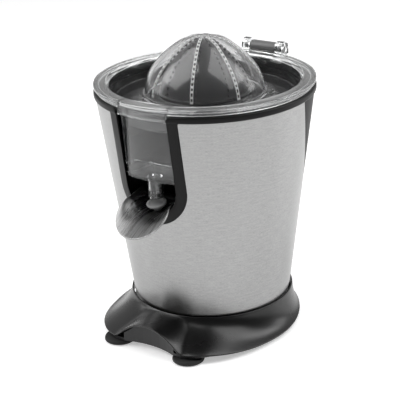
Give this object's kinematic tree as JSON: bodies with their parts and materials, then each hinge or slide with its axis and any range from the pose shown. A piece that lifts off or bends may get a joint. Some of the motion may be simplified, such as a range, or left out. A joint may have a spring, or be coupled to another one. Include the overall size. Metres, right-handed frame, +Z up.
{
  "type": "citrus press juicer",
  "caption": "Motor-driven citrus press: clear juice bowl and ribbed reamer on a tapered steel body with a tilting pour spout and flared black base.",
  "frame": {"origin": "on the table, under the middle of the bounding box", "axes": "+Z up, -Y to the front where the spout is, +X to the right as seen from the front"},
  "size_m": [0.1702, 0.197, 0.229],
  "materials": {
    "brushed_steel": "brushed round the body",
    "polished_steel": "polished",
    "black_gloss": "gloss",
    "black_satin": "satin",
    "dark_grey": "satin",
    "charcoal": "semi-gloss",
    "clear": "clear, polished",
    "smoke": "translucent smoke",
    "silicone": "soft matte",
    "rubber": "matte",
    "nylon": "moulded",
    "sintered_brass": "sintered"
  },
  "bodies": {
    "chassis": {"base_skirt": "black_gloss", "base_plate": "dark_grey", "foot_front_left": "rubber", "foot_front_right": "rubber", "foot_rear_left": "rubber", "foot_rear_right": "rubber", "base_screw_1": "brushed_steel", "base_screw_2": "brushed_steel", "base_screw_3": "brushed_steel", "base_screw_4": "brushed_steel", "chassis_leg_1": "dark_grey", "chassis_leg_2": "dark_grey", "chassis_leg_3": "dark_grey", "chassis_leg_4": "dark_grey", "sleeve_seat_ring": "dark_grey", "cord_bush": "rubber", "steel_sleeve": "brushed_steel", "rear_panel": "black_satin", "top_bezel": "black_satin", "inner_cup": "black_satin", "upper_bush": "sintered_brass", "shaft_seal": "rubber", "spout_pocket": "black_satin", "spout_pin": "brushed_steel", "gearbox_floor": "dark_grey", "gearbox_cover": "dark_grey", "gearbox_post_1": "brushed_steel", "gearbox_post_2": "brushed_steel", "gearbox_post_3": "brushed_steel", "lower_bush": "sintered_brass", "mid_axle": "polished_steel", "motor_can": "brushed_steel", "field_winding": "sintered_brass", "microswitch": "black_satin", "return_spring": "polished_steel"},
    "press_carriage": {"thrust_collar": "nylon"},
    "spindle": {"spindle_shaft": "polished_steel", "drive_hex": "dark_grey", "output_gear": "nylon", "spindle_clip": "polished_steel"},
    "mid_gear": {"mid_gear": "nylon"},
    "rotor": {"rotor_core": "brushed_steel", "motor_shaft": "polished_steel", "motor_pinion": "sintered_brass", "cooling_fan": "dark_grey"},
    "switch_button": {"switch_button": "nylon"},
    "small_cone": {"small_cone": "charcoal"},
    "large_cone": {"large_cone": "clear"},
    "collector": {"juice_collector": "clear", "lid_hinge_rod": "dark_grey"},
    "strainer": {"pulp_strainer": "smoke"},
    "spout": {"spout_scoop": "brushed_steel", "spout_hub": "black_satin", "spout_seal": "silicone"}
  },
  "joints": [
    {"name": "rotor_spin", "type": "hinge", "parent": "chassis", "child": "rotor", "pos_m": [0.004, 0.03065, 0.04], "axis": [0, 0, 1], "continuous": true},
    {"name": "mid_gear_spin", "type": "hinge", "parent": "chassis", "child": "mid_gear", "pos_m": [-0.02475, 0.03065, 0.08], "axis": [0, 0, 1], "continuous": true},
    {"name": "press_travel", "type": "slide", "parent": "chassis", "child": "press_carriage", "axis": [0, 0, 1], "range_m": [-0.003, 0], "stiffness_N_per_m": 3000, "springref_m": 0.004, "deforming": ["return_spring"]},
    {"name": "spindle_spin", "type": "hinge", "parent": "press_carriage", "child": "spindle", "pos_m": [0, 0.0059, 0.1], "axis": [0, 0, 1], "continuous": true},
    {"name": "switch_press", "type": "slide", "parent": "chassis", "child": "switch_button", "axis": [0, 0, 1], "range_m": [-0.003, 0]},
    {"name": "small_cone_lift", "type": "slide", "parent": "spindle", "child": "small_cone", "axis": [0, 0, 1], "range_m": [0, 0.17]},
    {"name": "large_cone_lift", "type": "slide", "parent": "small_cone", "child": "large_cone", "axis": [0, 0, 1], "range_m": [0, 0.045]},
    {"name": "collector_lift", "type": "slide", "parent": "chassis", "child": "collector", "axis": [0, 0, 1], "range_m": [0, 0.09]},
    {"name": "strainer_lift", "type": "slide", "parent": "collector", "child": "strainer", "axis": [0, 0, 1], "range_m": [0, 0.04]},
    {"name": "spout_tilt", "type": "hinge", "parent": "chassis", "child": "spout", "pos_m": [0, -0.0401, 0.112], "axis": [-1, 0, 0], "range_deg": [0, 11]}
  ],
  "couplings": [
    {"joint": "mid_gear_spin", "follows": "rotor_spin", "ratio": -0.27778},
    {"joint": "spindle_spin", "follows": "rotor_spin", "ratio": 0.075758},
    {"joint": "switch_press", "follows": "press_travel", "ratio": 1},
    {"joint": "collector_lift", "follows": "small_cone_lift", "ratio": 0.52},
    {"joint": "strainer_lift", "follows": "small_cone_lift", "ratio": 0.23}
  ]
}
